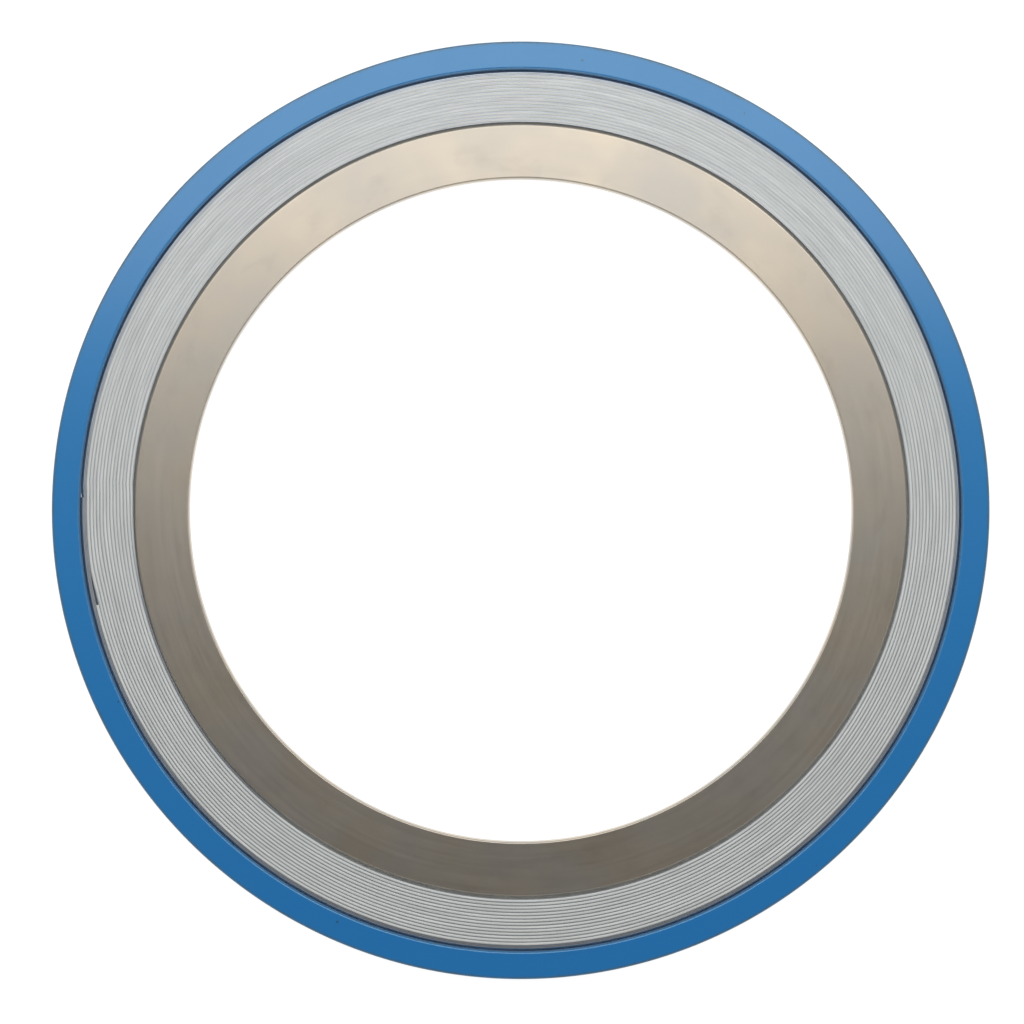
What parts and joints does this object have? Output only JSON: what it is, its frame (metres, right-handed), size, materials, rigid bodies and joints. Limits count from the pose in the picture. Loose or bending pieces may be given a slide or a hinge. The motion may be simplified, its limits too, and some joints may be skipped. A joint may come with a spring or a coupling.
{
  "type": "spiral wound gasket",
  "caption": "Flat ring gasket for a raised-face pipe flange: a spiral of chevron steel strip and soft filler between a painted centering ring and a stainless inner ring.",
  "frame": {"origin": "centre of the gasket on its middle plane, half way between its two faces", "axes": "+Z along the gasket's axis, out of its upper face; both faces are alike. +X and +Y lie in the middle plane"},
  "size_m": [0.2222, 0.2222, 0.0044],
  "materials": {
    "blue_paint": "satin blue stoving paint on carbon steel plate",
    "stainless_strip": "slit edge of cold-rolled stainless strip",
    "white_filler": "matt off-white filler tape, pressed between the turns of strip",
    "stainless_plate": "satin rolled stainless plate, faintly stained"
  },
  "bodies": {
    "root": {"centering_ring": "blue_paint", "winding": "stainless_strip", "inner_ring": "stainless_plate"}
  },
  "joints": []
}
